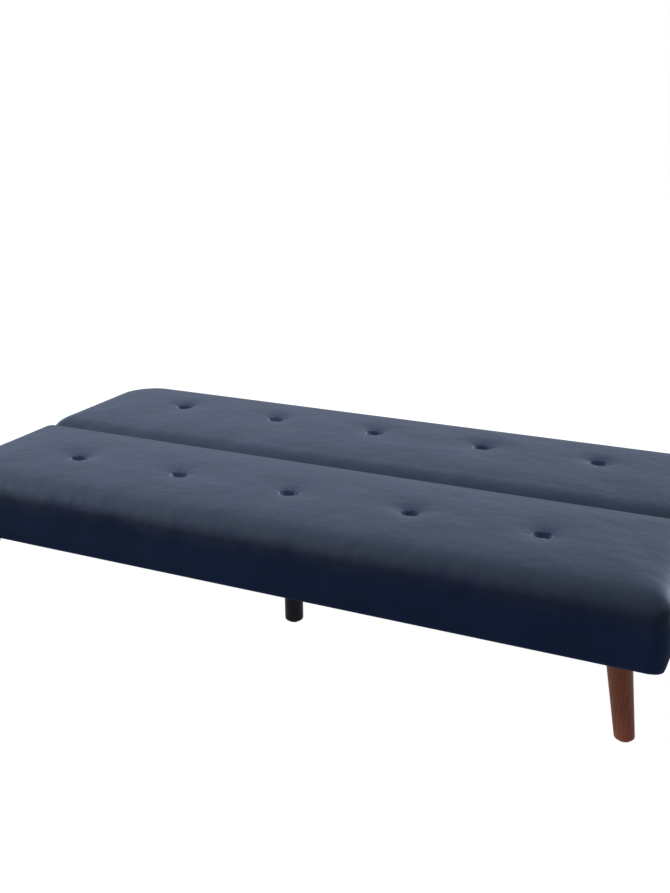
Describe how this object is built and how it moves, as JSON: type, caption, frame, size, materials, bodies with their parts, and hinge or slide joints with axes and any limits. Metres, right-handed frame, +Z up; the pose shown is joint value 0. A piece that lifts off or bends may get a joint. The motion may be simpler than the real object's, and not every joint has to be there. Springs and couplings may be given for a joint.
{
  "type": "fold-flat sofa bed",
  "caption": "Armless fold-flat sofa bed: tufted velvet seat and a hinged tufted back that lies level with it, on splayed wooden legs with a straight centre leg.",
  "frame": {"origin": "on the floor, under the middle of the open bed", "axes": "+X along the bed's length, +Y from the seat to the back section, +Z up"},
  "size_m": [1.836, 0.89, 0.35],
  "materials": {
    "velvet": "matte",
    "foam": "matte",
    "felt": "matte",
    "twine": "matte",
    "dust_cloth": "matte",
    "timber": "matte",
    "walnut": "satin",
    "black_leg": "satin",
    "black_steel": "satin",
    "plated_steel": "satin",
    "spring_wire": "satin",
    "black_plastic": "matte",
    "nylon": "satin",
    "rest_rubber": "matte"
  },
  "bodies": {
    "base": {"seat_cover": "velvet", "seat_foam": "foam", "seat_felt": "felt", "seat_springs": "spring_wire", "seat_spring_clips": "plated_steel", "seat_front_rail": "timber", "seat_rear_rail": "timber", "seat_side_rails": "timber", "seat_centre_rail": "timber", "seat_cross_rails": "timber", "seat_corner_boards": "timber", "seat_buttons": "velvet", "seat_button_twines": "twine", "seat_twine_toggles": "black_plastic", "seat_dust_cover": "dust_cloth", "base_tube_left": "black_steel", "base_tube_right": "black_steel", "base_rear_tube": "black_steel", "base_end_caps": "black_plastic", "base_bolts": "plated_steel", "back_rests": "rest_rubber", "leg_front_left": "walnut", "leg_front_right": "walnut", "leg_rear_left": "walnut", "leg_rear_right": "walnut", "centre_leg": "black_leg", "leg_plates": "black_steel", "leg_plate_screws": "plated_steel", "leg_bolts": "plated_steel", "foot_glides": "black_plastic", "hinge_lug_left": "black_steel", "hinge_lug_right": "black_steel", "hinge_pins": "plated_steel", "hinge_washers": "nylon", "hinge_lug_bolts": "plated_steel", "frame_nuts": "plated_steel", "pawl_pins": "plated_steel", "pawl_springs": "plated_steel"},
    "backrest": {"back_cover": "velvet", "back_foam": "foam", "back_felt": "felt", "back_springs": "spring_wire", "back_spring_clips": "plated_steel", "back_lower_rail": "timber", "back_top_rail": "timber", "back_side_rails": "timber", "back_corner_blocks": "timber", "back_nose_board": "timber", "back_nose_blocks": "timber", "back_cross_rails": "timber", "back_buttons": "velvet", "back_button_twines": "twine", "back_twine_toggles": "black_plastic", "back_panel": "velvet", "hinge_plate_left": "plated_steel", "hinge_plate_right": "plated_steel", "hinge_bushes": "nylon", "hinge_plate_screws": "plated_steel"},
    "right_pawl": {"pawl_right": "plated_steel"},
    "left_pawl": {"pawl_left": "plated_steel"}
  },
  "joints": [
    {"name": "back_recline", "type": "hinge", "parent": "base", "child": "backrest", "pos_m": [0, 0.05, 0.279], "axis": [1, 0, 0], "range_deg": [0, 90]},
    {"name": "right_pawl_swing", "type": "hinge", "parent": "base", "child": "right_pawl", "pos_m": [0.842, 0.058, 0.229], "axis": [-1, 0, 0], "range_deg": [0, 10]},
    {"name": "left_pawl_swing", "type": "hinge", "parent": "base", "child": "left_pawl", "pos_m": [-0.842, 0.058, 0.229], "axis": [-1, 0, 0], "range_deg": [0, 10]}
  ],
  "couplings": [
    {"joint": "left_pawl_swing", "follows": "right_pawl_swing", "ratio": 1}
  ]
}
